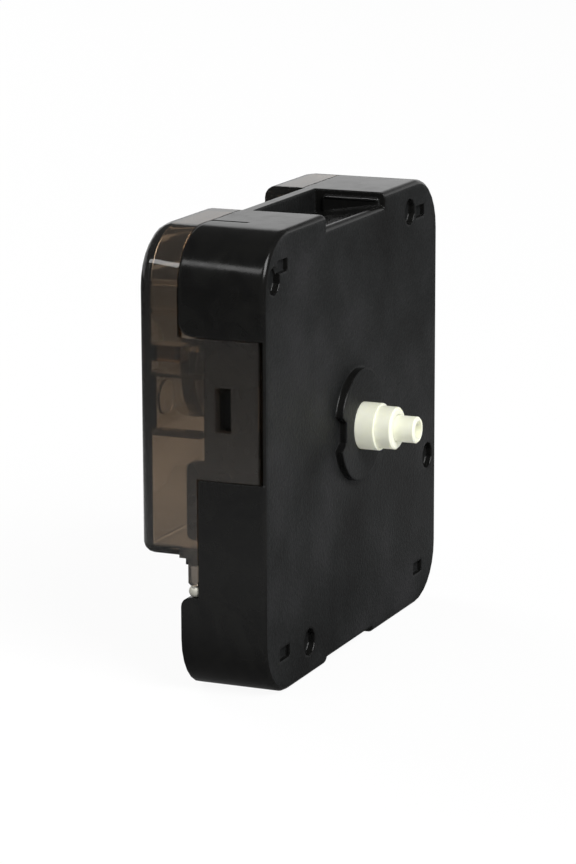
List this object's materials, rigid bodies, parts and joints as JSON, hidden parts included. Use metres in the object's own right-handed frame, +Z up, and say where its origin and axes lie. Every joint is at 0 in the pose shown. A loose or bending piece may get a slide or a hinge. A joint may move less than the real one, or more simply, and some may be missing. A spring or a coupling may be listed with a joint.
{
  "type": "quartz clock movement",
  "caption": "battery quartz clock movement with black square case, smoky clear back cover, hanging recess on top and stepped white hand shaft",
  "frame": {"origin": "bottom centre of the whole part, under the middle of its footprint", "axes": "+Z up to the hanging recess, -Y out of the dial side along the hand shaft, +X to the right when the dial side is looked at from the back cover's left"},
  "size_m": [0.056, 0.0248, 0.056],
  "materials": {
    "housing": "fine moulded texture",
    "cover": "smoky see-through moulding",
    "knob": "knurled moulding",
    "gears": "smooth acetal",
    "pipes": "smooth acetal",
    "steel": "plain",
    "magnet": "plain",
    "winding": "enamelled copper wire",
    "board": "glass fibre laminate",
    "epoxy": "cast resin",
    "contacts": "nickel plated spring strip"
  },
  "bodies": {
    "case": {"front_housing": "housing", "back_cover": "cover", "gear_bridge": "gears", "stator_plate": "steel", "coil_core": "steel", "coil_bobbin": "gears", "coil_winding": "winding", "circuit_board": "board", "chip_cover": "epoxy", "crystal_can": "contacts", "positive_contact": "contacts", "negative_contact": "contacts"},
    "rotor": {"rotor_magnet": "magnet", "rotor_pinion": "gears"},
    "intermediate": {"intermediate_wheel": "gears"},
    "seconds": {"seconds_wheel": "gears", "seconds_arbor": "steel"},
    "third": {"third_wheel": "gears"},
    "centre": {"centre_wheel": "gears"},
    "minute": {"minute_pipe": "pipes"},
    "motion": {"motion_wheel": "gears"},
    "hour": {"hour_wheel": "pipes"},
    "setting": {"setting_arbor": "gears", "setting_knob": "knob"}
  },
  "joints": [
    {"name": "rotor_spin", "type": "hinge", "parent": "case", "child": "rotor", "pos_m": [0.01231, 0.002, 0.02721], "axis": [0, 1, 0], "continuous": true},
    {"name": "intermediate_spin", "type": "hinge", "parent": "case", "child": "intermediate", "pos_m": [0.00773, 0.003, 0.03042], "axis": [0, 1, 0], "continuous": true},
    {"name": "seconds_spin", "type": "hinge", "parent": "case", "child": "seconds", "pos_m": [0, 0.0027, 0.02835], "axis": [0, 1, 0], "continuous": true},
    {"name": "third_spin", "type": "hinge", "parent": "case", "child": "third", "pos_m": [-0.00773, 0.0015, 0.02628], "axis": [0, 1, 0], "continuous": true},
    {"name": "centre_spin", "type": "hinge", "parent": "case", "child": "centre", "pos_m": [0, 0.001, 0.02835], "axis": [0, 1, 0], "continuous": true},
    {"name": "minute_spin", "type": "hinge", "parent": "case", "child": "minute", "pos_m": [0, -0.003, 0.02835], "axis": [0, 1, 0], "continuous": true},
    {"name": "motion_spin", "type": "hinge", "parent": "case", "child": "motion", "pos_m": [-0.0055, -0.001, 0.03457], "axis": [0, 1, 0], "continuous": true},
    {"name": "hour_spin", "type": "hinge", "parent": "case", "child": "hour", "pos_m": [0, -0.004, 0.02835], "axis": [0, 1, 0], "continuous": true},
    {"name": "setting_knob_spin", "type": "hinge", "parent": "case", "child": "setting", "pos_m": [-0.0133, 0.0111, 0.0374], "axis": [0, 1, 0], "continuous": true}
  ],
  "couplings": [
    {"joint": "intermediate_spin", "follows": "rotor_spin", "ratio": -0.16667},
    {"joint": "seconds_spin", "follows": "rotor_spin", "ratio": 0.033333},
    {"joint": "third_spin", "follows": "rotor_spin", "ratio": -0.0044444},
    {"joint": "centre_spin", "follows": "rotor_spin", "ratio": 0.00055556},
    {"joint": "motion_spin", "follows": "setting_knob_spin", "ratio": -0.33333},
    {"joint": "minute_spin", "follows": "setting_knob_spin", "ratio": 1},
    {"joint": "hour_spin", "follows": "setting_knob_spin", "ratio": 0.083333}
  ]
}
